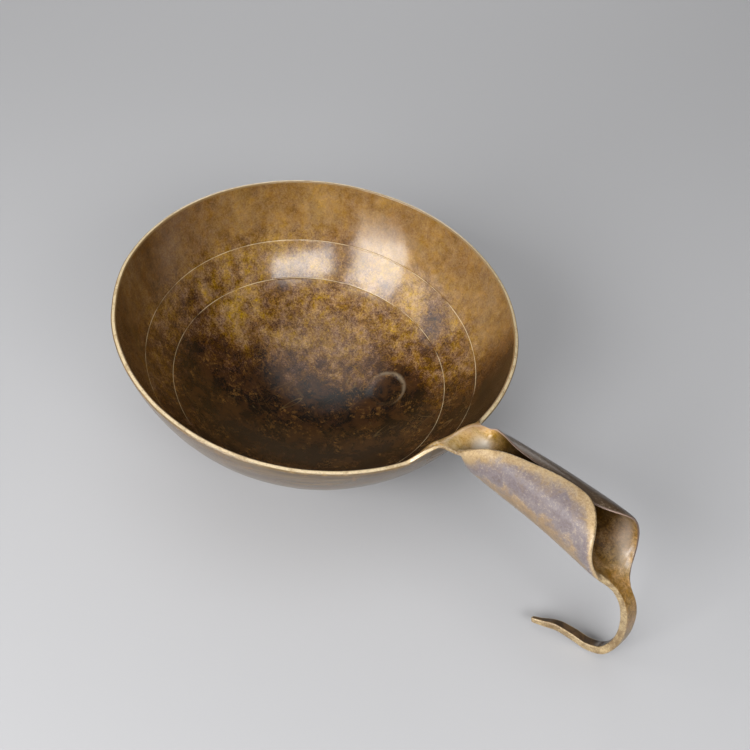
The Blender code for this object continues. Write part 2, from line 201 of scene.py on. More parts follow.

# Tone over the bowl and along the tongue, by fades that have a start and a width: painted shade and painted
# dark reflection on the bowl's near wall and floor, and other lighter and darker regions
TOWARDS_VIEW = (0.72, -0.69, 0)
ASIDE_VIEW = (0.69, 0.72, 0)
FAR_TONE = 0.55
NEAR_SHADE = 0.6
NEAR_FADE = (-0.5, 0.58)
RIGHT_FADE = (0.58, 0.14)
RIGHT_SHIFT = 0.3
BOWL_GAINS = (
    (-0.06, ("aside", *RIGHT_FADE)),
    (0.06, ("depth", 0.05, -0.03), ("aside", 0.4, 0.35), ("toward", 0.15, -0.25)),
    (0.42, ("aside", -0.5, -0.3), ("depth", 0.075, -0.025), ("toward", -0.35, 0.3)),
    (-0.1, ("aside", -0.5, -0.3), ("toward", -0.15, -0.3)),
    (-0.06, ("depth", 0.062, 0.02), ("toward", -0.15, -0.2)),
)
# Painted shade inside the knock in the floor
KNOCK_SHADE = 0.1
# The neck and the bowl beside it are lighter: golden brass, and in part a painted highlight
NECK_TONE = 0.88
NECK_SPREAD = 0.012
# Painted shade: the socket's inside is darker under the lapped flaps, and lighter towards its open end
SOCKET_SHADE_TONE = 0.28
SOCKET_FADE = (0.006, 0.022)
END_GAIN = 0.28
END_FADE = (0.074, 0.02)

# Noises of the patina: size in metres, detail, roughness, warp, and how far each axis is drawn out
BACK_RINGS = (0.004, 6, 0.62, 0.2, (7, 7, 1))
BOWL_NOISES = {
    "cloud": (0.022, 4, 0.6, 0.5),
    "mottle": (0.008, 8, 0.74, 0.5),
    "grain": (0.001, 3, 0.9),
    "patch": (0.005, 7, 0.72, 0.3),
    "streak": (0.006, 4, 0.6, 0.1, (1, 1, 8)),
    "ember": (0.011, 6, 0.7, 0.5),
    "fleck": (0.0026, 6, 0.85, 0.2),
    "cluster": (0.014, 4, 0.65, 0.4),
    "wear": (0.014, 3, 0.6),
    "rings": BACK_RINGS,
}
TONGUE_NOISES = {
    "cloud": (0.016, 4, 0.6, 0.5),
    "mottle": (0.006, 8, 0.74, 0.4),
    "grain": (0.0011, 3, 0.9),
    "streak": (0.0035, 5, 0.65, 0.2, (7, 1, 1)),
    "rings": BACK_RINGS,
}
NOISE_MIDDLE = 0.5
NEUTRAL_HUE = 0.5
STORED_VALUES = ("edge", "depth", "inward", "tone", "across", "along")

# Bowl's patina: swings of the noises, their shares from rim to floor, and the turned lines' blur
DEEP_WALL = (0.02, 0.048)
BOWL_CLOUDING = {"cloud": 0.42}
CLOUDING_SHARES = (0.35, 1.0)
BOWL_SPECKLE = {"mottle": 0.6, "grain": 0.66}
SPECKLE_SHARES = (0.38, 1.0)
BOWL_STREAKING = {"streak": 0.1}
BOWL_SATURATION = {"patch": 0.7}
SATURATION_SHARES = (0.4, 1.0)
BOWL_HUE = {"mottle": -0.015}
FLOOR_HUE = {"patch": 0.035}
LINE_BLUR = (0.0003, 0.00005)

# Patina of the tongue and the edges: swings, changes round the roll, and the rub along the near edge
TONGUE_CLOUDING = {"cloud": 0.24}
TONGUE_SPECKLE = {"mottle": 0.36, "grain": 0.42}
TONGUE_SATURATION = {"mottle": -0.6}
PLAIN_SATURATION = 1.1
TONGUE_HUE = {"cloud": -0.03}
AROUND_SPAN = (0.5, 1.0)
AROUND_SHIFT = (-0.16, ("along", 0.034, 0.006))
AROUND_SWINGS = {"cloud": 0.14, "mottle": 0.16}
SIDE_CLOUDING = {"cloud": 0.3}
EDGE_FRAY = {"grain": 0.0006}
RUB_FRAY = {"mottle": 0.006}
RUB_WIDENING = (-0.002, ("along", 0.03, 0.004))
RUB_SIDES = (0.8, 0.1)

# Scratches in the bowl: size, drawing out and turn of each set, and how they break off and fade
SCRATCH_SETS = (
    (0.012, (1, 9, 1), (0, 0, 35)),
    (0.008, (10, 1, 1), (0, 0, 60)),
)
SCRATCH_WIDTH = 0.008
SCRATCH_NOISE = (1.0, 0.5, 0.0)
SCRATCH_LENGTH = 2.5
BREAK_NOISE = (2.0, 0.5)
BREAK_LEVELS = (0.52, 0.66)
SCRATCH_SHARES = (0.08, 0.3)

# Ramps of colour by level, for the patina and for the painted shade and painted reflection that the levels
# carry: level and colour
BOWL_INSIDE = (
    (0.0, (0.006, 0.0025, 0.0005)),
    (0.22, (0.042, 0.014, 0.002)),
    (0.42, (0.128, 0.057, 0.014)),
    (0.6, (0.245, 0.136, 0.042)),
    (0.9, (0.46, 0.285, 0.075)),
)
# Near flap's outside: its violet-grey stops on the upper side are a painted reflection; darker round the
# underside to the far flap
TONGUE_OUTSIDE = (
    (0.0, (0.29, 0.195, 0.095)),
    (0.05, (0.195, 0.145, 0.112)),
    (0.11, (0.14, 0.114, 0.121)),
    (0.19, (0.165, 0.138, 0.139)),
    (0.25, (0.235, 0.155, 0.083)),
    (0.36, (0.19, 0.112, 0.048)),
    (0.52, (0.084, 0.048, 0.021)),
    (0.8, (0.06, 0.034, 0.016)),
)
TONGUE_INSIDE = (
    (0.05, (0.014, 0.007, 0.003)),
    (0.3, (0.062, 0.033, 0.012)),
    (0.52, (0.195, 0.115, 0.042)),
    (0.72, (0.36, 0.22, 0.092)),
    (0.9, (0.55, 0.375, 0.19)),
)

# Shares and their fields: a strength, then fields, each with the levels where it is none and full
ON_INSIDE = ("inward", 0.4, 0.6)
OFF_BACK = (1, ("inward", 0.05, 0.1))
BOWL_EDGE = (1, ("frayed", 0.0004, 0.0))
TONGUE_EDGE = (1, ("frayed", 0.0006, 0.0001))
COLLAR = (1, ("along", 0.01, 0.0005))
NEAR_SIDE = ("across", 0.1, -0.1)
ON_HOOK = (1, ("along", 0.092, 0.106))
RUB = (1, ("rubbed", 0.0065, 0.0015), NEAR_SIDE, ("sides",), ("along", 0.106, 0.094), ("along", 0.0, 0.005))

# Tints: a colour, then its share
RUBBED_BRIGHT = (0.58, 0.46, 0.28)
FAR_EDGE_DARK = (0.1, 0.062, 0.042)
EMBERS = ((0.06, 0.023, 0.005), 0.8, ("ember", 0.44, 0.62), ("level", 0.35, 0.1), ("deep",))
FLECKS = ((0.26, 0.124, 0.029), 0.7, ("fleck", 0.51, 0.62), ("cluster", 0.47, 0.6), ("deep",))
SCRATCHES = ((0.3, 0.195, 0.075), 1, ("scratched",), ON_INSIDE)
# Painted highlight: a pale crescent on one side of the knock's edge, between two offset circles
KNOCK_HIGHLIGHT_PAINT = (
    (0.34, 0.26, 0.17), 0.55, ("patch", 0.35, 0.55),
    ("from_knock", KNOCK_RADIUS + KNOCK_BLUR, KNOCK_RADIUS - KNOCK_BLUR),
    ("from_hollow", KNOCK_RADIUS - HOLLOW_BLUR, KNOCK_RADIUS + HOLLOW_BLUR),
)
TURNED_LINES = (RUBBED_BRIGHT, 1, ("lines",), ("wear", 0.3, 0.62), ON_INSIDE)
BACK_TAN = ((0.24, 0.126, 0.04), 0.6, ("mottle", 0.53, 0.7))
BACK_GREY = ((0.11, 0.088, 0.08), 0.5, ("patch", 0.54, 0.7))
TONGUE_PALE = ((0.48, 0.38, 0.26), 0.6, ("freckle", 0.48, 0.8))
TONGUE_DARK = ((0.1, 0.064, 0.038), 0.65, ("freckle", 0.5, 0.24))
TONGUE_STREAKS = ((0.12, 0.08, 0.05), 0.4, ("streak", 0.58, 0.74))
RUST = (
    (0.4, 0.2, 0.085), 0.55, ("along", 0.006, 0.001), ("across", -0.4, 0.6),
    ("cloud", 0.3, 0.6), ("tone", 0.3, 0.9),
)
# Painted highlight: a pale whitish patch in the neck's trough
NECK_HIGHLIGHT_PAINT = (
    (0.68, 0.6, 0.49), 0.85, ("along", 0.002, 0.008), ("along", 0.016, 0.01),
    ("across", -0.3, 0.15), ("across", 0.8, 0.35),
)
# Painted highlight: a soft whitish patch inside the socket, on its far side
SOCKET_HIGHLIGHT_PAINT = (
    (0.42, 0.35, 0.29), 0.5, ("along", 0.078, 0.087), ("along", 0.098, 0.089),
    ("across", 0.17, 0.5), ("across", 0.93, 0.6),
)

# Paints: a colour, then tints over it
BACK_PAINT = ((0.062, 0.035, 0.013), ((0.155, 0.1, 0.042), 1, ("rings", 0.25, 0.75)))
RIM_PAINT = (
    (0.13, 0.085, 0.04),
    (RUBBED_BRIGHT, 1, ("inward", 0.34, 0.47)),
    ((0.2, 0.122, 0.048), 1, ("inward", 0.57, 0.74)),
    ((0.26, 0.165, 0.07), 0.6, ("patch", 0.48, 0.64)),
)
HOOK_PAINT = ((0.022, 0.012, 0.005), ((0.075, 0.042, 0.018), 1, ("mottle", 0.4, 0.62)))
OCHRE_PAINT = ((0.28, 0.18, 0.085), ((0.5, 0.365, 0.195), 1, ("freckle", 0.3, 0.66)))
SIDE_PAINT = ((0.16, 0.1, 0.042), ((0.42, 0.315, 0.17), 1, ("clouded", 0.34, 0.72)))
FAR_EDGE_PAINT = (
    (0.4, 0.29, 0.24),
    (FAR_EDGE_DARK, 1, ("along", 0.078, 0.088)),
    (FAR_EDGE_DARK, 1, ("inward", 0.6, 0.35)),
)

# Gloss of the sheet's brass, and the relief of its patina
METALLIC = 0.1
ROUGHNESS = (0.4, 0.7)
SPECULAR = 0.06
COAT = 0.85
COAT_IOR = 1.55
BOWL_COAT_ROUGHNESS = 0.18
TONGUE_COAT_ROUGHNESS = 0.28
MOTTLE_RELIEF = 0.0001
GRAIN_RELIEF = 0.00005

# Camera at the photograph's place, in the bowl's frame
CAMERA_PLACE = Vector((0.268185, -0.270607, 0.382361))
CAMERA_RIGHT = Vector((0.659, 0.74, 0.133))
CAMERA_FORWARD = Vector((-0.426, 0.514, -0.744))
CAMERA_LENS = 51.57
CAMERA_SENSOR = 36.0

# Studio: soft boxes by azimuth, elevation, width, height and watts, a sky lighter overhead, and a floor
SOFT_BOXES = {
    "right_box": (-24, 31, 0.83, 0.3, 9.6),
    "left_box": (-76, 27.5, 0.71, 0.71, 19.0),
    "low_box": (-76, 6, 0.64, 0.24, 2.4),
    "side_box": (-122, 28, 1.0, 0.5, 4.0),
    "back_box": (138, 20, 1.2, 0.5, 4.0),
}
BOX_DISTANCE = 1.3
BOX_AIM = Vector((-0.05, 0, 0.05))
SKY_HEIGHTS = (0.78, 0.98)
SKY_LEVELS = (0.05, 1.25)
SKY_COLOUR = (1, 1, 1, 1)
FLOOR_SIZE = 6.0
FLOOR_COLOUR = (0.42, 0.42, 0.43, 1)
FLOOR_ROUGHNESS = 0.9


def ease(value):
    """Rises smoothly from 0 to 1 while value goes from 0 to 1."""
    value = np.clip(value, 0, 1)
    return value * value * (3 - 2 * value)


def fade(value, start, width):
    """Goes smoothly from 0 at start to 1 at a width past it, or before it if the width is negative."""
    return ease((value - start) / width)


def unevenness(place, size):
    """Noise about a half, with features of a size in metres."""
    return 0.5 + 0.5 * noise.noise(place / size)


def between(stations, positions):
    """A smooth curve through evenly numbered stations, read at fractional positions."""
    stations = np.asarray(stations, float)
    padded = np.concatenate([
        [2 * stations[0] - stations[1]], stations, [2 * stations[-1] - stations[-2]],
    ])
    index = np.clip(np.floor(positions).astype(int), 0, len(stations) - 2)
    part = positions - index
    if stations.ndim > 1:
        part = part[:, None]
    before, one, two, after = (padded[index + step] for step in range(4))
    slope_one = (two - before) / 2
    slope_two = (after - one) / 2
    bow = 3 * (two - one) - 2 * slope_one - slope_two
    twist = 2 * (one - two) + slope_one + slope_two
    return one + part * (slope_one + part * (bow + part * twist))


def even_out(rows, first, last, passes):
    """Smooths the rows between two that stay as they are, most in the middle."""
    part = np.linspace(0, 1, last - first + 1)[1:-1]
    share = ease(4 * part * (1 - part)).reshape(-1, *[1] * (rows.ndim - 1)) / 2
    for _ in range(passes):
        middle = (rows[first:last - 1] + rows[first + 2:last + 1]) / 2
        rows[first + 1:last] += share * (middle - rows[first + 1:last])


def heading(angle):
    """Direction at an angle in degrees from the first of two axes to the second."""
    angle = np.radians(angle)
    return np.stack([np.cos(angle), np.sin(angle)], axis=-1)


def bend(start, start_angle, end, end_angle):
    """Points of a smooth bend from one place and heading to another, along X and Z."""
    arm = np.linalg.norm(end - start) * BEND_REACH
    first = start + heading(start_angle) * arm
    second = end - heading(end_angle) * arm
    part = np.linspace(0, 1, BEND_STEPS)[:, None]
    rest = 1 - part
    ends = rest ** 3 * start + part ** 3 * end
    return ends + 3 * rest * part * (rest * first + part * second)


class Path:
    """A chain of points along X and Z that is read by distance from its start."""

    def __init__(self, points):
        points = np.asarray(points)
        steps = np.linalg.norm(np.diff(points, axis=0), axis=1)
        kept = np.concatenate([[True], steps > 0])
        self.points = points[kept]
        self.distances = np.concatenate([[0], np.cumsum(steps[steps > 0])])
        self.length = self.distances[-1]

    def at(self, distance):
        along = np.interp(distance, self.distances, self.points[:, 0])
        height = np.interp(distance, self.distances, self.points[:, 1])
        return np.stack([along, height], axis=-1)

    def direction(self, distance):
        step = self.length / len(self.points)
        ahead = self.at(np.minimum(distance + step, self.length))
        behind = self.at(np.maximum(distance - step, 0))
        return (ahead - behind) / np.linalg.norm(ahead - behind, axis=-1, keepdims=True)


def cap_point(angle):
    """A point of the sheet's middle on the bowl's profile, at an angle below level."""
    return np.array((SPHERE_MIDDLE * math.cos(angle), SPHERE_HEIGHT - SPHERE_MIDDLE * math.sin(angle)))


def keel_path():
    """The tongue's middle line, with the distances along it of the lip's start and of the crest."""
    crest = np.array((RIM_RADIUS + CREST_OUT, CREST_RISE))
    throat = np.array((RIM_RADIUS + THROAT_OUT, -THROAT_DROP))
    far = np.array((RIM_RADIUS + SOCKET_LENGTH, SOCKET_RISE))
    wall = np.array([cap_point(ROOT_ANGLE), cap_point(BEND_ANGLE)])
    lip = bend(wall[-1], 90 - math.degrees(BEND_ANGLE), crest, 0)
    dip = bend(crest, 0, throat, THROAT_CLIMB)
    floor = bend(throat, THROAT_CLIMB, far, SOCKET_CLIMB)
    fall = bend(far, SOCKET_CLIMB, TONGUE_END, TONGUE_FALL)
    lip_start = Path(wall).length
    crest_place = Path(np.concatenate([wall, lip])).length
    return Path(np.concatenate([wall, lip, dip, floor, fall])), lip_start, crest_place


def roll_radius(place):
    """Radius of the roll at a distance past the crest."""
    return NEAR_RADIUS + (FAR_RADIUS - NEAR_RADIUS) * place / TONGUE_LENGTH


def tongue_stations(keel, lip_start, crest_place):
    """Sections of the tongue: place and upright, then place, turn and width of each flap's edge."""
    near_wall = NECK_NEAR, math.degrees(NECK_NEAR / SPHERE_MIDDLE)
    far_wall = NECK_FAR, math.degrees(NECK_FAR / SPHERE_MIDDLE)
    tongue_end = TONGUE_WIDTH / 2, math.degrees(END_TURN)

    def plain(place, upright, near, far):
        return place, upright, place, near[1], near[0], place, far[1], far[0]

    def edge(place, turn):
        return crest_place + place, turn, math.radians(turn) * roll_radius(place)

    def rolled(share, upright, near_share, near_turn, far_share, far_turn, lead):
        near = edge(near_share * TONGUE_LENGTH, near_turn)
        far = edge(far_share * TONGUE_LENGTH + lead * FAR_FLAP_LEAD, far_turn)
        return crest_place + share * TONGUE_LENGTH, upright, *near, *far

    neck = [
        plain(0, 180 - math.degrees(ROOT_ANGLE), near_wall, far_wall),
        plain(lip_start, 180 - math.degrees(BEND_ANGLE), near_wall, far_wall),
        plain(crest_place, CREST_UPRIGHT, (NECK_NEAR, CREST_NEAR_TURN), (NECK_FAR, CREST_FAR_TURN)),
        plain(
            crest_place + MOUTH_OUT, MOUTH_UPRIGHT,
            (MOUTH_NEAR, MOUTH_NEAR_TURN), (MOUTH_FAR, MOUTH_FAR_TURN),
        ),
    ]
    roll = [rolled(*section) for section in ROLL_SECTIONS]
    return np.array(neck + roll + [plain(keel.length, 90 + TONGUE_FALL, tongue_end, tongue_end)])


def column_shares():
    """Places of the tongue's columns from its near edge, -1, to its far edge, 1."""
    outward = np.arange(HALF_COLUMNS + 1) / HALF_COLUMNS
    crowded = 1 - (1 - outward) ** COLUMN_CROWDING
    return np.concatenate([-crowded[:0:-1], crowded])


def tongue_sheet(keel, stations):
    """The tongue's middle surface, by rows and columns, with each point's distance to its edge."""
    rows = (len(stations) - 1) * ROWS_PER_STATION
    section = between(stations, np.arange(rows + 1) / ROWS_PER_STATION)
    far_flap = section[:, 5:8]
    even_out(far_flap, COLLAR_ROWS, COLLAR_ROWS + MOUTH_EASED_STATIONS * ROWS_PER_STATION, MOUTH_PASSES)
    even_out(section, FLAP_END_STATION * ROWS_PER_STATION, rows, FLAP_END_PASSES)
    section = section[:, :, None]
    column = column_shares()[None, :]
    near = column < 0
    edge = np.where(near, section[:, 2], section[:, 5])
    turn = np.where(near, section[:, 3], section[:, 6])
    turn = np.where(np.abs(turn) > FLATTEST_TURN, turn, FLATTEST_TURN)
    width = np.where(near, section[:, 4], section[:, 7])
    share = np.abs(column) * (1 - EDGE_ROUND / width)
    centre = keel.at(section[:, 0] + (edge - section[:, 0]) * share ** 2)
    lap = (SHEET + LAP_CLEARANCE) / 2 * np.where(near, 1, -1)
    lift = lap * ease((turn * share - LAP_STARTS) / (LAP_FULL - LAP_STARTS))
    radius = width / np.radians(turn)
    side = (radius + lift) * np.sin(np.radians(turn) * share)
    rise = radius - (radius + lift) * np.cos(np.radians(turn) * share)
    place = centre + heading(section[:, 1]) * rise[..., None]
    points = np.stack([place[..., 0], side * np.sign(column), place[..., 1]], axis=-1)
    return points, (1 - share) * width


def hook_sheet():
    """The hook's middle surface by rows and columns, with its half thickness and edge distance."""
    steps = np.linspace(0, len(HOOK_POINTS) - 1, HOOK_PATH_STEPS)
    path = Path(TONGUE_END + between(HOOK_POINTS, steps))
    share = np.arange(1, HOOK_ROWS + 1) / HOOK_ROWS
    stage = share * (len(HOOK_WIDTHS) - 1)
    width = between(HOOK_WIDTHS, stage)
    thickness = between(HOOK_THICKNESSES, stage)
    veer = between(HOOK_VEERS, stage)
    place = share * (path.length - EDGE_ROUND)
    along = path.direction(place)
    upward = np.stack([-along[:, 1], along[:, 0]], axis=-1)
    half_width = (width / 2 - EDGE_ROUND)[:, None]
    column = column_shares()[None, :]
    turn = END_TURN * (1 - ease(stage / HOOK_FLAT_STEP))[:, None]
    side = half_width * column
    rise = half_width * column ** 2 * turn / 2
    middle = path.at(place)[:, None, :] + upward[:, None, :] * rise[..., None]
    points = np.stack([middle[..., 0], veer[:, None] + side, middle[..., 1]], axis=-1)
    edge = half_width * (1 - np.abs(column)) + EDGE_ROUND
    half = np.broadcast_to(thickness[:, None] / 2, side.shape)
    return points, half, edge


def wall_points(angle, depth):
    """Points of the bowl's middle surface by angle round the axis and depth down the wall."""
    beside = -angle * RIM_RADIUS - NECK_NEAR
    along = (beside - SHOULDER_FLAT) / (SHOULDER_SPREAD - SHOULDER_FLAT)
    raised = (1 - ease(along)) * (1 - ease(depth / SHOULDER_DEPTH)) * ease(-angle / NEAR_ANGLE)
    below = RIM_ANGLE + (depth - SHOULDER_LIFT * raised) / SPHERE_INSIDE
    out = SPHERE_MIDDLE * np.cos(below)
    height = SPHERE_HEIGHT - SPHERE_MIDDLE * np.sin(below)
    return np.stack([out * np.cos(angle), out * np.sin(angle), height], axis=-1)


def foot_cut(depth):
    """How much of the wall's outside is flattened away under the bowl."""
    outer = SPHERE_HEIGHT - SPHERE_OUTSIDE * np.sin(RIM_ANGLE + depth / SPHERE_INSIDE)
    return FOOT_BLEND * np.logaddexp(0, (FOOT_HEIGHT - outer) / FOOT_BLEND)


def ring_depths():
    """Depths down the wall of the bowl's rings, from the pole up to the neck's root."""
    deepest = (math.pi / 2 - RIM_ANGLE) * SPHERE_INSIDE - FIRST_RING
    count = round((deepest - NECK_ROOT) / BOWL_RING_STEP)
    depths = np.linspace(deepest, NECK_ROOT, count + 1)[:-1]
    for line in LINE_PLACES:
        depths = depths[np.abs(depths - line) > LINE_WIDTH]
        depths = np.append(depths, line + LINE_WIDTH * np.array(LINE_RINGS))
    return np.sort(depths)[::-1]


def line_cut(depth):
    """How deep the turned lines are cut at a depth down the wall."""
    cut = np.zeros_like(depth)
    for line in LINE_PLACES:
        cut += LINE_CUT * (1 - ease(np.abs(depth - line) / (LINE_WIDTH / 2)))
    return cut


def knocked(points):
    """How far each point lies inside the round knock: 0 outside it, 1 on its floor."""
    gap = np.linalg.norm(points - np.array(KNOCK_PLACE), axis=1)
    return 1 - ease((gap - KNOCK_RADIUS + KNOCK_EDGE) / KNOCK_EDGE)


class Sheet:
    """The whole middle surface: points, half thicknesses on both sides, and faces by piece."""

    def __init__(self):
        keel, lip_start, crest_place = keel_path()
        tongue, tongue_edge = tongue_sheet(keel, tongue_stations(keel, lip_start, crest_place))
        self.across = tongue.shape[1]
        self.lay_bowl(tongue, tongue_edge, crest_place)
        self.lay_tongue(tongue, tongue_edge)
        self.lay_faces()
        self.round_corners()
        self.paint_tone_and_shade()
        self.beat()

    def lay_bowl(self, tongue, tongue_edge, crest_place):
        """Rings from the pole to the root, then the collar's rows up to the rim and the crest."""
        shares = column_shares()
        neck = np.arcsin(shares * np.where(shares < 0, NECK_NEAR, NECK_FAR) / RIM_RADIUS)
        rim = np.linspace(FAR_ANGLE, 2 * math.pi - NEAR_ANGLE, RIM_COLUMNS + 2)[1:-1]
        angle = np.concatenate([neck, rim])
        angle = np.where(angle > math.pi, angle - 2 * math.pi, angle)
        places = [Vector((math.cos(turn), math.sin(turn), 0)) * RIM_RADIUS for turn in angle]
        waver = np.array([unevenness(place, RIM_WAVER_SIZE) for place in places])
        rim_depth = EDGE_ROUND + RIM_WAVER * waver
        rings = ring_depths()
        climb = np.arange(COLLAR_ROWS + 1)[:, None] / COLLAR_ROWS
        collar_depth = NECK_ROOT + (rim_depth[None, :] - NECK_ROOT) * climb
        depth = np.concatenate([np.repeat(rings[:, None], len(angle), 1), collar_depth])
        points = wall_points(np.broadcast_to(angle, depth.shape), depth)
        first = len(rings)
        self.join_neck(points[first:], tongue, angle[self.across:] * RIM_RADIUS)

        rim_share = 1 - ease(depth / RIM_FADE)
        inside = np.full(depth.shape, SHEET / 2)
        inside[:first] -= line_cut(depth[:first])
        outside = WALL - SHEET / 2 + (RIM_THICKNESS - WALL) * rim_share - foot_cut(depth)
        outside[first:, :self.across] = SHEET / 2
        edge = depth - rim_depth
        edge[first:, :self.across] = np.hypot(tongue_edge[:COLLAR_ROWS + 1], crest_place * (1 - climb))
        side = np.zeros(depth.shape)
        side[first:, :self.across] = shares
        along = np.full(depth.shape, -1.0)
        along[first:, :self.across] = 0
        deepest = depth.max() + FIRST_RING
        pole = np.array([[0, 0, SPHERE_HEIGHT - SPHERE_MIDDLE]])
        self.rings = first
        self.points = np.concatenate([pole, points.reshape(-1, 3)])
        self.inside = np.append(SHEET / 2, inside)
        self.outside = np.append(WALL - SHEET / 2 - foot_cut(deepest), outside)
        self.values = {
            "depth": np.append(deepest, depth),
            "edge": np.append(deepest, edge),
            "across": np.append(0, side),
            "along": np.append(-1, along),
        }

    def join_neck(self, collar, tongue, beside):
        """Bends the collar's rows into the tongue, and the rim beside them to its edges."""
        corners = [0, self.across - 1]
        wall_edges = collar[:, corners].copy()
        blend = ease(np.arange(COLLAR_ROWS + 1) / ROWS_PER_STATION)[:, None, None]
        collar[:, :self.across] += blend * (tongue[:COLLAR_ROWS + 1] - collar[:, :self.across])
        offsets = collar[:, corners] - wall_edges
        near_share = np.where(beside < 0, 1 - ease((-beside - NECK_NEAR) / NEAR_JOIN), 0)
        far_share = np.where(beside > 0, 1 - ease((beside - NECK_FAR) / FAR_JOIN), 0)
        collar[:, self.across:] += offsets[:, :1] * near_share[None, :, None]
        collar[:, self.across:] += offsets[:, 1:] * far_share[None, :, None]

    def lay_tongue(self, tongue, tongue_edge):
        """The tongue's rows past the crest, and the hook's rows."""
        hook, hook_half, hook_edge = hook_sheet()
        past_crest = tongue[COLLAR_ROWS + 1:]
        rows = np.concatenate([past_crest, hook])
        join = len(past_crest)
        even_out(rows, join - HOOK_JOIN_ROWS[0], join + HOOK_JOIN_ROWS[1], HOOK_JOIN_PASSES)
        edge = np.concatenate([tongue_edge[COLLAR_ROWS + 1:], hook_edge])
        shares = np.broadcast_to(column_shares(), edge.shape)
        steps = np.linalg.norm(np.diff(rows[:, HALF_COLUMNS], axis=0), axis=1)
        travelled = np.append(0, np.cumsum(steps))
        back = (np.arange(join) - join)[:, None]
        far_root = ease(back / FAR_ROOT_ROWS + 1)
        far = np.maximum(shares[:join], 0) ** 2
        root = far * far_root + (1 - far) * ease(back / ROOT_ROWS + 1)
        half = SHEET / 2 + (HOOK_THICKNESSES[0] - SHEET) / 2 * root
        thinned = FAR_THINNING * ease(travelled[:join] / FAR_THIN_START)[:, None] * (1 - far_root)
        half *= 1 - thinned * (shares[:join] > 0) * (1 - ease(edge[:join] / FAR_THIN_REACH))
        half = np.concatenate([half, hook_half])
        self.tongue_start = len(self.points)
        self.tongue_rows = len(rows)
        self.hook_row = join
        self.points = np.concatenate([self.points, rows.reshape(-1, 3)])
        self.inside = np.append(self.inside, half)
        self.outside = np.append(self.outside, half)
        along = np.repeat(travelled, self.across)
        added = {"depth": 0 * along, "edge": edge, "across": shares, "along": along}
        for name, numbers in added.items():
            self.values[name] = np.append(self.values[name], numbers)

    def lay_faces(self):
        """Faces of each piece, the loop round the sheet's free edge, and the loop's two corners."""
        wide = self.across + RIM_COLUMNS
        full = 1 + np.arange((self.rings + COLLAR_ROWS + 1) * wide).reshape(-1, wide)
        strip = self.tongue_start + np.arange(self.tongue_rows * self.across).reshape(-1, self.across)
        strip = np.concatenate([full[-1:, :self.across], strip])
        turned = np.roll(full, -1, axis=1)
        bowl = np.stack([full[:-1], full[1:], turned[1:], turned[:-1]], axis=-1)
        flat = np.stack([strip[:-1, :-1], strip[1:, :-1], strip[1:, 1:], strip[:-1, 1:]], axis=-1)
        centre = np.stack([np.zeros_like(full[0]), full[0], turned[0]], axis=-1)
        stretches = {
            "bowl": (bowl[:self.rings], bowl[self.rings:, self.across - 1:], centre),
            "handle": (bowl[self.rings:, :self.across - 1], flat[:self.hook_row]),
            "hook": (flat[self.hook_row:],),
        }
        self.faces = {}
        for name, grids in stretches.items():
            rows = [grid.reshape(-1, grid.shape[-1]).tolist() for grid in grids]
            self.faces[name] = [tuple(row) for row in sum(rows, [])]
        rim = full[-1, self.across:]
        self.border = np.concatenate([strip[:, -1], strip[-1, -2:0:-1], strip[::-1, 0], rim[::-1]])
        self.corners = strip[0, [0, -1]]

    def normals(self):
        """Direction of the sheet's inside at each point."""
        return point_normals(self.points, sum(self.faces.values(), []))

    def round_corners(self):
        """Eases the two corners where the rim turns into the tongue's edges."""
        ahead = np.roll(self.border, -1)
        behind = np.roll(self.border, 1)
        away = self.points[self.border][:, None] - self.points[self.corners][None]
        gap = np.linalg.norm(away, axis=2).min(axis=1)
        share = 0.5 * (1 - ease(gap / CORNER_ROUND))[:, None]
        for _ in range(CORNER_PASSES):
            middle = (self.points[ahead] + self.points[behind]) / 2
            self.points[self.border] += share * (middle - self.points[self.border])

    def paint_tone_and_shade(self):
        """How light the colour is at each point: painted shade and painted dark reflection on the near wall
        and floor, painted shade in the knock and the socket, and a neck lighter in part by a painted
        highlight.
        """
        toward = self.points @ np.array(TOWARDS_VIEW) / RIM_RADIUS
        aside = self.points @ np.array(ASIDE_VIEW) / RIM_RADIUS
        right = fade(aside, *RIGHT_FADE)
        # Painted shade and painted dark reflection: darker towards the camera's side, on the near wall and
        # floor
        bowl = FAR_TONE - NEAR_SHADE * fade(toward - RIGHT_SHIFT * right, *NEAR_FADE)
        depth = self.values["depth"]
        along = self.values["along"]
        fields = {"toward": toward, "aside": aside, "depth": depth}
        for gain, *fades in BOWL_GAINS:
            for field, start, width in fades:
                gain = gain * fade(fields[field], start, width)
            bowl += gain
        # Painted shade: darker inside the knock
        bowl -= KNOCK_SHADE * knocked(self.points)
        # The neck and the bowl beside it are lighter: golden brass, and in part a painted highlight
        beside = RIM_RADIUS * np.arctan2(self.points[:, 1], self.points[:, 0])
        apart = np.maximum(beside - NECK_FAR, -beside - NECK_NEAR)
        near_neck = (1 - ease(apart / NECK_SPREAD)) * (1 - ease(depth / NECK_ROOT))
        bowl += (NECK_TONE - bowl) * near_neck
        # Painted shade in the socket, lighter past the neck and towards the socket's end
        neck = 1 - fade(along, *SOCKET_FADE)
        end = fade(along, *END_FADE)
        tongue = SOCKET_SHADE_TONE + (NECK_TONE - SOCKET_SHADE_TONE) * neck + END_GAIN * end
        self.values["tone"] = np.where(along > 0, tongue, bowl)

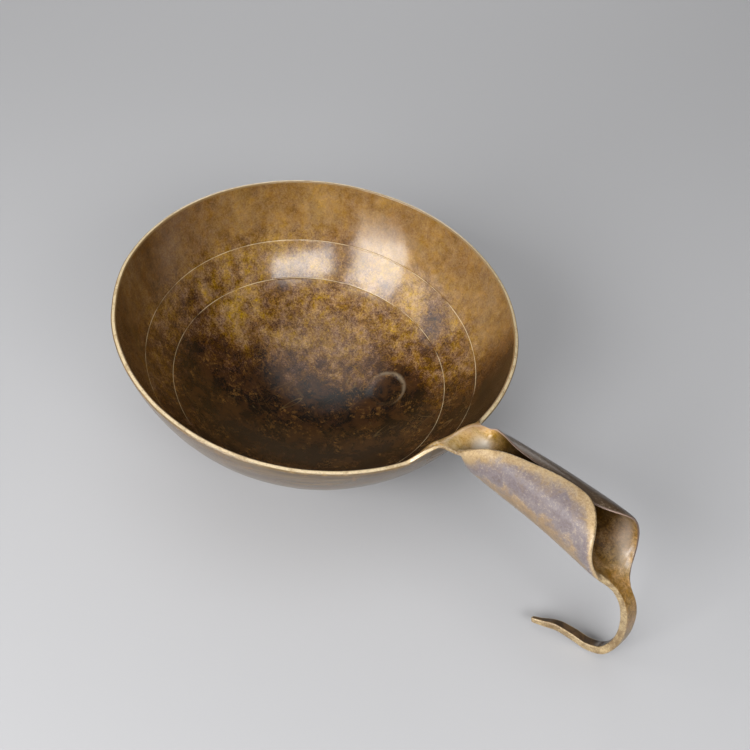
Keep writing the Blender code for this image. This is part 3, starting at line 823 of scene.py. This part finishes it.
    def beat(self):
        """Sinks waves and hammer marks into the sheet's outside, and the knock into its inside."""
        sunk = []
        for point in self.points:
            place = Vector(point)
            wave = WAVE_DEPTH * unevenness(place, WAVE_SIZE)
            sunk.append((wave, HAMMER_DEPTH * unevenness(place, HAMMER_SIZE)))
        wave, hammer = np.array(sunk).T
        hammer[self.tongue_start:] *= TONGUE_HAMMER
        sunk = wave + hammer - KNOCK_DEPTH * knocked(self.points)
        sunk[self.tongue_start + self.hook_row * self.across:] = 0
        self.points += self.normals() * sunk[:, None]


def point_normals(points, faces):
    """Smooth direction at each point of a mesh of triangles and quads."""
    total = np.zeros_like(points)
    for size in (3, 4):
        some = np.array([face for face in faces if len(face) == size])
        corner = points[some]
        across = np.cross(corner[:, 2] - corner[:, 0], corner[:, -1] - corner[:, 1])
        for place in range(size):
            np.add.at(total, some[:, place], across)
    return total / np.linalg.norm(total, axis=1, keepdims=True)


class Solid:
    """The sheet with its thickness: both sides, and a rounded edge between them."""

    def __init__(self, sheet):
        self.sheet = sheet
        self.count = len(sheet.points)
        normal = sheet.normals()
        top = sheet.points + normal * sheet.inside[:, None]
        bottom = sheet.points - normal * sheet.outside[:, None]
        border = sheet.border
        rings = self.edge_rings(top[border], bottom[border], normal[border])
        size = len(border)
        places = [2 * self.count + ring * size + np.arange(size) for ring in range(len(rings))]
        self.points = np.concatenate([top, bottom] + rings)
        self.sections = np.stack([border] + places + [border + self.count], axis=1).tolist()
        self.values = {name: self.spread(numbers) for name, numbers in sheet.values.items()}
        self.values["edge"][2 * self.count:] = 0
        edge_levels = 1 - np.arange(1, len(rings) + 1) / (len(rings) + 1)
        levels = np.ones(self.count), np.zeros(self.count), np.repeat(edge_levels, size)
        self.values["inward"] = np.concatenate(levels)
        self.owners = self.edge_owners()
        self.sides = {name: self.side_faces(name) for name in sheet.faces}
        self.normals = point_normals(self.points, sum(self.sides.values(), []))

    def edge_rings(self, top, bottom, normal):
        """Points of the rounded edge, ring by ring from the inside to the outside."""
        sheet = self.sheet
        border = sheet.border
        along = sheet.points[np.roll(border, -1)] - sheet.points[np.roll(border, 1)]
        outward = np.cross(normal, along)
        outward /= np.linalg.norm(outward, axis=1, keepdims=True)
        thinner = np.minimum(sheet.inside[border], sheet.outside[border])
        reach = np.minimum(EDGE_ROUND, EDGE_SHARE * thinner)[:, None]
        inner, outer = [], []
        for step in range(1, EDGE_STEPS + 1):
            turn = math.radians(90 * step / EDGE_STEPS)
            out = reach * outward * math.sin(turn)
            off = reach * normal * (1 - math.cos(turn))
            inner.append(top + out - off)
            outer.append(bottom + out + off)
        return inner + outer[::-1]

    def spread(self, numbers):
        """A value of the sheet, repeated for both sides and for the rounded edge."""
        return np.concatenate([numbers, numbers] + 2 * EDGE_STEPS * [numbers[self.sheet.border]])

    def edge_owners(self):
        """The piece on the left of each directed edge of the sheet."""
        owners = {}
        for name, faces in self.sheet.faces.items():
            for face in faces:
                for pair in zip(face, face[1:] + face[:1]):
                    owners[pair] = name
        return owners

    def border_owners(self):
        """The piece that owns each step of the border."""
        border = self.sheet.border.tolist()
        pairs = zip(border, border[1:] + border[:1])
        return [self.owners.get(pair) or self.owners[pair[::-1]] for pair in pairs]

    def side_faces(self, name):
        """A piece's inside, outside and rounded edge."""
        faces = self.sheet.faces[name]
        made = faces + [tuple(corner + self.count for corner in reversed(face)) for face in faces]
        following = self.sections[1:] + self.sections[:1]
        for one, two, owner in zip(self.sections, following, self.border_owners()):
            if owner == name:
                made += zip(one, two, two[1:], one[1:])
        return made

    def parting_faces(self, name):
        """A piece's flat faces where it was parted from its neighbours."""
        made = []
        for face in self.sheet.faces[name]:
            for one, two in zip(face, face[1:] + face[:1]):
                if self.owners.get((two, one), name) != name:
                    made.append((two, one, one + self.count, two + self.count))
        owners = self.border_owners()
        for index, section in enumerate(self.sections):
            before, owner = owners[index - 1], owners[index]
            if before != owner == name:
                made.append(tuple(section))
            if owner != before == name:
                made.append(tuple(reversed(section)))
        return made


def lie():
    """The turn from the bowl's frame to the table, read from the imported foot."""
    foot = frame["record"]["mounts"][0]
    axis = Vector(foot["axis"])
    tip = math.atan2(-axis.x, -axis.z)
    centre = Vector(foot["pos_m"]) + axis * FOOT_HEIGHT
    return Matrix.Translation(centre) @ Matrix.Rotation(tip, 4, "Y")


def add(name, data):
    """A new object of the scene."""
    made = bpy.data.objects.new(name, data)
    bpy.context.scene.collection.objects.link(made)
    return made


def make_piece(solid, name, material, lying):
    """Draws one piece of the sheet, shaded as a part of the whole."""
    sides = solid.sides[name]
    faces = sides + solid.parting_faces(name)
    used = sorted({corner for face in faces for corner in face})
    place = np.array(lying)
    points = solid.points[used] @ place[:3, :3].T + place[:3, 3]
    number = {old: new for new, old in enumerate(used)}
    mesh = bpy.data.meshes.new(name)
    mesh.from_pydata(points.tolist(), [], [[number[corner] for corner in face] for face in faces])
    mesh.shade_smooth()
    smooth = solid.normals @ place[:3, :3].T
    corners = np.array([corner for face in sides for corner in face])
    normals = smooth[corners].tolist()
    for polygon in mesh.polygons[len(sides):]:
        normals += len(polygon.vertices) * [list(polygon.normal)]
    mesh.normals_split_custom_set(normals)
    for value, numbers in solid.values.items():
        mesh.attributes.new(value, "FLOAT", "POINT").data.foreach_set("value", numbers[used])
    mesh.materials.append(material)
    piece = add(name + "_sheet", mesh)
    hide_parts(name)
    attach(piece, "root")


class Nodes:
    """The nodes of a material or of a world."""

    def __init__(self, owner):
        owner.use_nodes = True
        self.tree = owner.node_tree

    def feed(self, socket, value):
        if isinstance(value, bpy.types.NodeSocket):
            self.tree.links.new(value, socket)
        else:
            socket.default_value = value

    def fill(self, node, inputs):
        """Feeds a node's inputs with values or from other nodes."""
        for socket, value in inputs.items():
            self.feed(node.inputs[socket], value)

    def node(self, kind, inputs=None, **settings):
        """A new node with its settings and its inputs."""
        made = self.tree.nodes.new(kind)
        for setting, value in settings.items():
            setattr(made, setting, value)
        self.fill(made, inputs or {})
        return made

    def math(self, operation, one, two=0.0):
        return self.node("ShaderNodeMath", {0: one, 1: two}, operation=operation).outputs[0]

    def total(self, first, *others):
        for other in others:
            first = self.math("ADD", first, other)
        return first

    def product(self, first, *others):
        for other in others:
            first = self.math("MULTIPLY", first, other)
        return first

    def rise(self, value, low, high):
        """Goes smoothly from 0 at low to 1 at high, which may be below low."""
        inputs = {"Value": value, "From Min": low, "From Max": high}
        return self.node("ShaderNodeMapRange", inputs, interpolation_type="SMOOTHSTEP").outputs["Result"]

    def span(self, value, low, high):
        """Spreads 0 to 1 over low to high, and goes on past both."""
        inputs = {"Value": value, "To Min": low, "To Max": high}
        return self.node("ShaderNodeMapRange", inputs, clamp=False).outputs["Result"]


class Look(Nodes):
    """A material built from nodes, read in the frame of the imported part."""

    def __init__(self, name, noises):
        self.material = bpy.data.materials.new(name)
        super().__init__(self.material)
        self.place = self.node("ShaderNodeTexCoord").outputs["Object"]
        self.fields = {}
        for value in STORED_VALUES:
            self.fields[value] = self.node("ShaderNodeAttribute", attribute_name=value).outputs["Fac"]
        for field, settings in noises.items():
            self.fields[field] = self.noise(*settings)
        self.fields["frayed"] = self.total(self.fields["edge"], self.swings(EDGE_FRAY))

    def distance(self, point):
        """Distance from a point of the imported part's frame."""
        inputs = {0: self.place, 1: point}
        return self.node("ShaderNodeVectorMath", inputs, operation="DISTANCE").outputs["Value"]

    def apart(self, value, middle):
        """How far a value is from a middle, to either side."""
        return self.math("ABSOLUTE", self.math("SUBTRACT", value, middle))

    def swings(self, reaches):
        """The sum of noises about a half, each turned into a swing to both sides of zero."""
        return self.total(*[self.span(self.fields[name], -reach, reach) for name, reach in reaches.items()])

    def share(self, strength, *parts):
        """A strength, lessened by fields that rise between two levels or count as they are."""
        for field, *levels in parts:
            value = self.fields[field]
            strength = self.product(strength, self.rise(value, *levels) if levels else value)
        return strength

    def tinted(self, colour, *tints):
        """Lays tints over a colour, each a colour and its share."""
        for tint, *share in tints:
            colour = self.mix(self.share(*share), colour, tint)
        return colour

    def noise(self, size, detail=4.0, roughness=0.6, warp=0.0, stretch=(1, 1, 1), turn=(0, 0, 0)):
        """Clouded noise with features of a size in metres, drawn out along any axis."""
        mapping = self.node("ShaderNodeMapping", {
            "Vector": self.place,
            "Scale": [1 / (size * part) for part in stretch],
            "Rotation": [math.radians(angle) for angle in turn],
        })
        inputs = {"Vector": mapping.outputs["Vector"], "Scale": 1, "Detail": detail}
        inputs.update({"Roughness": roughness, "Distortion": warp})
        return self.node("ShaderNodeTexNoise", inputs).outputs["Fac"]

    def mix(self, share, one, two):
        """Goes from one colour to another."""
        made = self.node("ShaderNodeMix", {"Factor": share}, data_type="RGBA")
        sockets = [socket for socket in made.inputs if socket.type == "RGBA"]
        for socket, colour in zip(sockets, (one, two)):
            self.feed(socket, (*colour, 1) if isinstance(colour, tuple) else colour)
        return next(socket for socket in made.outputs if socket.type == "RGBA")

    def ramp(self, value, stops):
        """A colour read from stops, each a level and its colour."""
        made = self.node("ShaderNodeValToRGB", {"Fac": value})
        elements = made.color_ramp.elements
        elements.remove(elements[0])
        for index, (level, colour) in enumerate(stops):
            element = elements[0] if index == 0 else elements.new(level)
            element.position = level
            element.color = (*colour, 1)
        return made.outputs["Color"]

    def tinge(self, colour, hue, saturation):
        """Shifts a colour's hue by a small swing, and multiplies its saturation."""
        inputs = {"Hue": self.math("ADD", hue, NEUTRAL_HUE), "Saturation": saturation, "Color": colour}
        return self.node("ShaderNodeHueSaturation", inputs).outputs["Color"]

    def scratches(self, size, stretch, turn):
        """Thin broken lines, drawn out along one axis."""
        field = self.noise(size, *SCRATCH_NOISE, stretch, turn)
        line = self.rise(self.apart(field, NOISE_MIDDLE), SCRATCH_WIDTH, 0.0)
        broken = self.noise(size * SCRATCH_LENGTH, *BREAK_NOISE)
        return self.product(line, self.rise(broken, *BREAK_LEVELS))

    def bump(self, field, distance, inputs=None):
        inputs = {"Height": self.fields[field], "Distance": distance, "Strength": 1, **(inputs or {})}
        return self.node("ShaderNodeBump", inputs).outputs["Normal"]

    def finish_brass(self, colour, coat_roughness):
        """Sets the colour, and the gloss that all the sheet's brass shares."""
        mottled = {"Normal": self.bump("mottle", MOTTLE_RELIEF)}
        self.fill(self.tree.nodes["Principled BSDF"], {
            "Base Color": colour,
            "Roughness": self.span(self.fields["mottle"], *ROUGHNESS),
            "Metallic": METALLIC,
            "Specular IOR Level": SPECULAR,
            "Coat Weight": COAT,
            "Coat IOR": COAT_IOR,
            "Coat Roughness": coat_roughness,
            "Normal": self.bump("grain", GRAIN_RELIEF, mottled),
        })
        return self.material


def bowl_look(lying):
    """Mottled patina inside, streaked brown outside, rubbed rim and turned lines, over the tone's painted
    shade, with a painted highlight round the knock's edge.
    """
    look = Look("bowl_patina", BOWL_NOISES)
    fields = look.fields
    deep = look.rise(fields["depth"], *DEEP_WALL)
    speckle = look.product(look.swings(BOWL_SPECKLE), look.span(deep, *SPECKLE_SHARES))
    clouding = look.product(look.swings(BOWL_CLOUDING), look.span(deep, *CLOUDING_SHARES))
    scratched = look.total(*[look.scratches(*scratch_set) for scratch_set in SCRATCH_SETS])
    from_lines = [look.apart(fields["depth"], line) for line in LINE_PLACES]
    fields.update(
        deep=deep,
        level=look.total(fields["tone"], clouding, speckle, look.swings(BOWL_STREAKING)),
        scratched=look.product(scratched, look.span(deep, *SCRATCH_SHARES)),
        lines=look.total(*[look.rise(gap, *LINE_BLUR) for gap in from_lines]),
        # Distances that place the painted highlight on the knock's edge
        from_knock=look.distance(lying @ Vector(KNOCK_PLACE)),
        from_hollow=look.distance(lying @ Vector(KNOCK_HOLLOW)),
    )

    saturation = look.product(look.swings(BOWL_SATURATION), look.span(deep, *SATURATION_SHARES))
    hue = look.total(look.swings(BOWL_HUE), look.product(look.swings(FLOOR_HUE), deep))
    inside = look.tinge(look.ramp(fields["level"], BOWL_INSIDE), hue, look.total(saturation, 1.0))
    inside = look.tinted(inside, EMBERS, FLECKS)
    outside = look.tinted(look.tinted(*BACK_PAINT), BACK_TAN, BACK_GREY)
    colour = look.tinted(outside, (inside, *OFF_BACK), SCRATCHES, KNOCK_HIGHLIGHT_PAINT)
    colour = look.tinted(colour, (look.tinted(*RIM_PAINT), *BOWL_EDGE), TURNED_LINES)
    return look.finish_brass(colour, BOWL_COAT_ROUGHNESS)


def tongue_look(name):
    """Patina of the rolled tongue and of the hook drawn out of it, with a painted reflection on the near
    flap and painted highlights on the neck and in the socket.
    """
    look = Look(name, TONGUE_NOISES)
    fields = look.fields
    speckle = look.swings(TONGUE_SPECKLE)
    freckle = look.total(NOISE_MIDDLE, speckle)
    level = look.total(fields["tone"], look.swings(TONGUE_CLOUDING), speckle)
    around = look.total(look.span(fields["across"], *AROUND_SPAN), look.share(*AROUND_SHIFT))
    around = look.total(around, look.swings(AROUND_SWINGS))
    fields.update(
        freckle=freckle,
        clouded=look.total(freckle, look.swings(SIDE_CLOUDING)),
        rubbed=look.total(fields["edge"], look.swings(RUB_FRAY), look.share(*RUB_WIDENING)),
        sides=look.span(fields["inward"], *RUB_SIDES),
        plain_edge=look.math("MAXIMUM", look.share(1, NEAR_SIDE), look.share(*ON_HOOK)),
    )

    # Painted reflection: violet-grey on the near flap's upper side
    outside = look.tinted(look.ramp(around, TONGUE_OUTSIDE), TONGUE_PALE, TONGUE_DARK, TONGUE_STREAKS)
    outside = look.tinted(outside, (look.tinted(*BACK_PAINT), *COLLAR))
    outside = look.tinted(outside, (look.tinted(*HOOK_PAINT), *ON_HOOK))
    saturation = look.total(look.swings(TONGUE_SATURATION), PLAIN_SATURATION)
    inside = look.tinge(look.ramp(level, TONGUE_INSIDE), look.swings(TONGUE_HUE), saturation)
    # Rust, then painted highlights on the neck and in the socket
    inside = look.tinted(inside, RUST, NECK_HIGHLIGHT_PAINT, SOCKET_HIGHLIGHT_PAINT)
    edge = look.tinted(look.tinted(*FAR_EDGE_PAINT), (look.tinted(*SIDE_PAINT), 1, ("plain_edge",)))
    colour = look.tinted(outside, (inside, *OFF_BACK), (look.tinted(*OCHRE_PAINT), *RUB))
    colour = look.tinted(colour, (edge, *TONGUE_EDGE))
    return look.finish_brass(colour, TONGUE_COAT_ROUGHNESS)


def make_camera(lying):
    """Looks at the dipper as the photograph does."""
    data = bpy.data.cameras.new("camera")
    data.lens = CAMERA_LENS
    data.sensor_width = CAMERA_SENSOR
    camera = add("camera", data)
    back = -CAMERA_FORWARD.normalized()
    right = (CAMERA_RIGHT - back * CAMERA_RIGHT.dot(back)).normalized()
    axes = Matrix((right, back.cross(right), back)).transposed().to_4x4()
    camera.matrix_world = lying @ Matrix.Translation(CAMERA_PLACE) @ axes
    bpy.context.scene.camera = camera


def make_floor():
    """A plain pale floor under the dipper."""
    bpy.ops.mesh.primitive_plane_add(size=FLOOR_SIZE)
    floor = bpy.context.object
    floor.name = "floor"
    paint = bpy.data.materials.new("floor_paint")
    coat = Nodes(paint)
    inputs = {"Base Color": FLOOR_COLOUR, "Roughness": FLOOR_ROUGHNESS}
    coat.fill(coat.tree.nodes["Principled BSDF"], inputs)
    floor.data.materials.append(paint)


def make_soft_box(name, azimuth, elevation, width, height, watts):
    """A rectangular lamp that faces the dipper."""
    data = bpy.data.lights.new(name, "AREA")
    data.shape = "RECTANGLE"
    data.size = width
    data.size_y = height
    data.energy = watts
    box = add(name, data)
    level, rise = heading(elevation)
    out = Vector((*heading(azimuth) * level, rise))
    box.location = BOX_AIM + out * BOX_DISTANCE
    box.rotation_euler = out.to_track_quat("Z", "Y").to_euler()


def make_sky():
    """A white world, dim at the sides and lighter overhead."""
    world = bpy.data.worlds.new("studio")
    sky = Nodes(world)
    place = sky.node("ShaderNodeTexCoord").outputs["Generated"]
    height = sky.node("ShaderNodeSeparateXYZ", {"Vector": place}).outputs["Z"]
    strength = sky.span(sky.rise(height, *SKY_HEIGHTS), *SKY_LEVELS)
    sky.fill(sky.tree.nodes["Background"], {"Color": SKY_COLOUR, "Strength": strength})
    bpy.context.scene.world = world


def make_dipper(lying):
    """Draws the sheet piece by piece."""
    solid = Solid(Sheet())
    looks = {
        "bowl": bowl_look(lying),
        "handle": tongue_look("handle_patina"),
        "hook": tongue_look("hook_patina"),
    }
    for name, material in looks.items():
        make_piece(solid, name, material, lying)


LYING = lie()
make_camera(LYING)
make_dipper(LYING)
make_floor()
for box_name, box_values in SOFT_BOXES.items():
    make_soft_box(box_name, *box_values)
make_sky()
bpy.context.scene.view_settings.view_transform = "Standard"
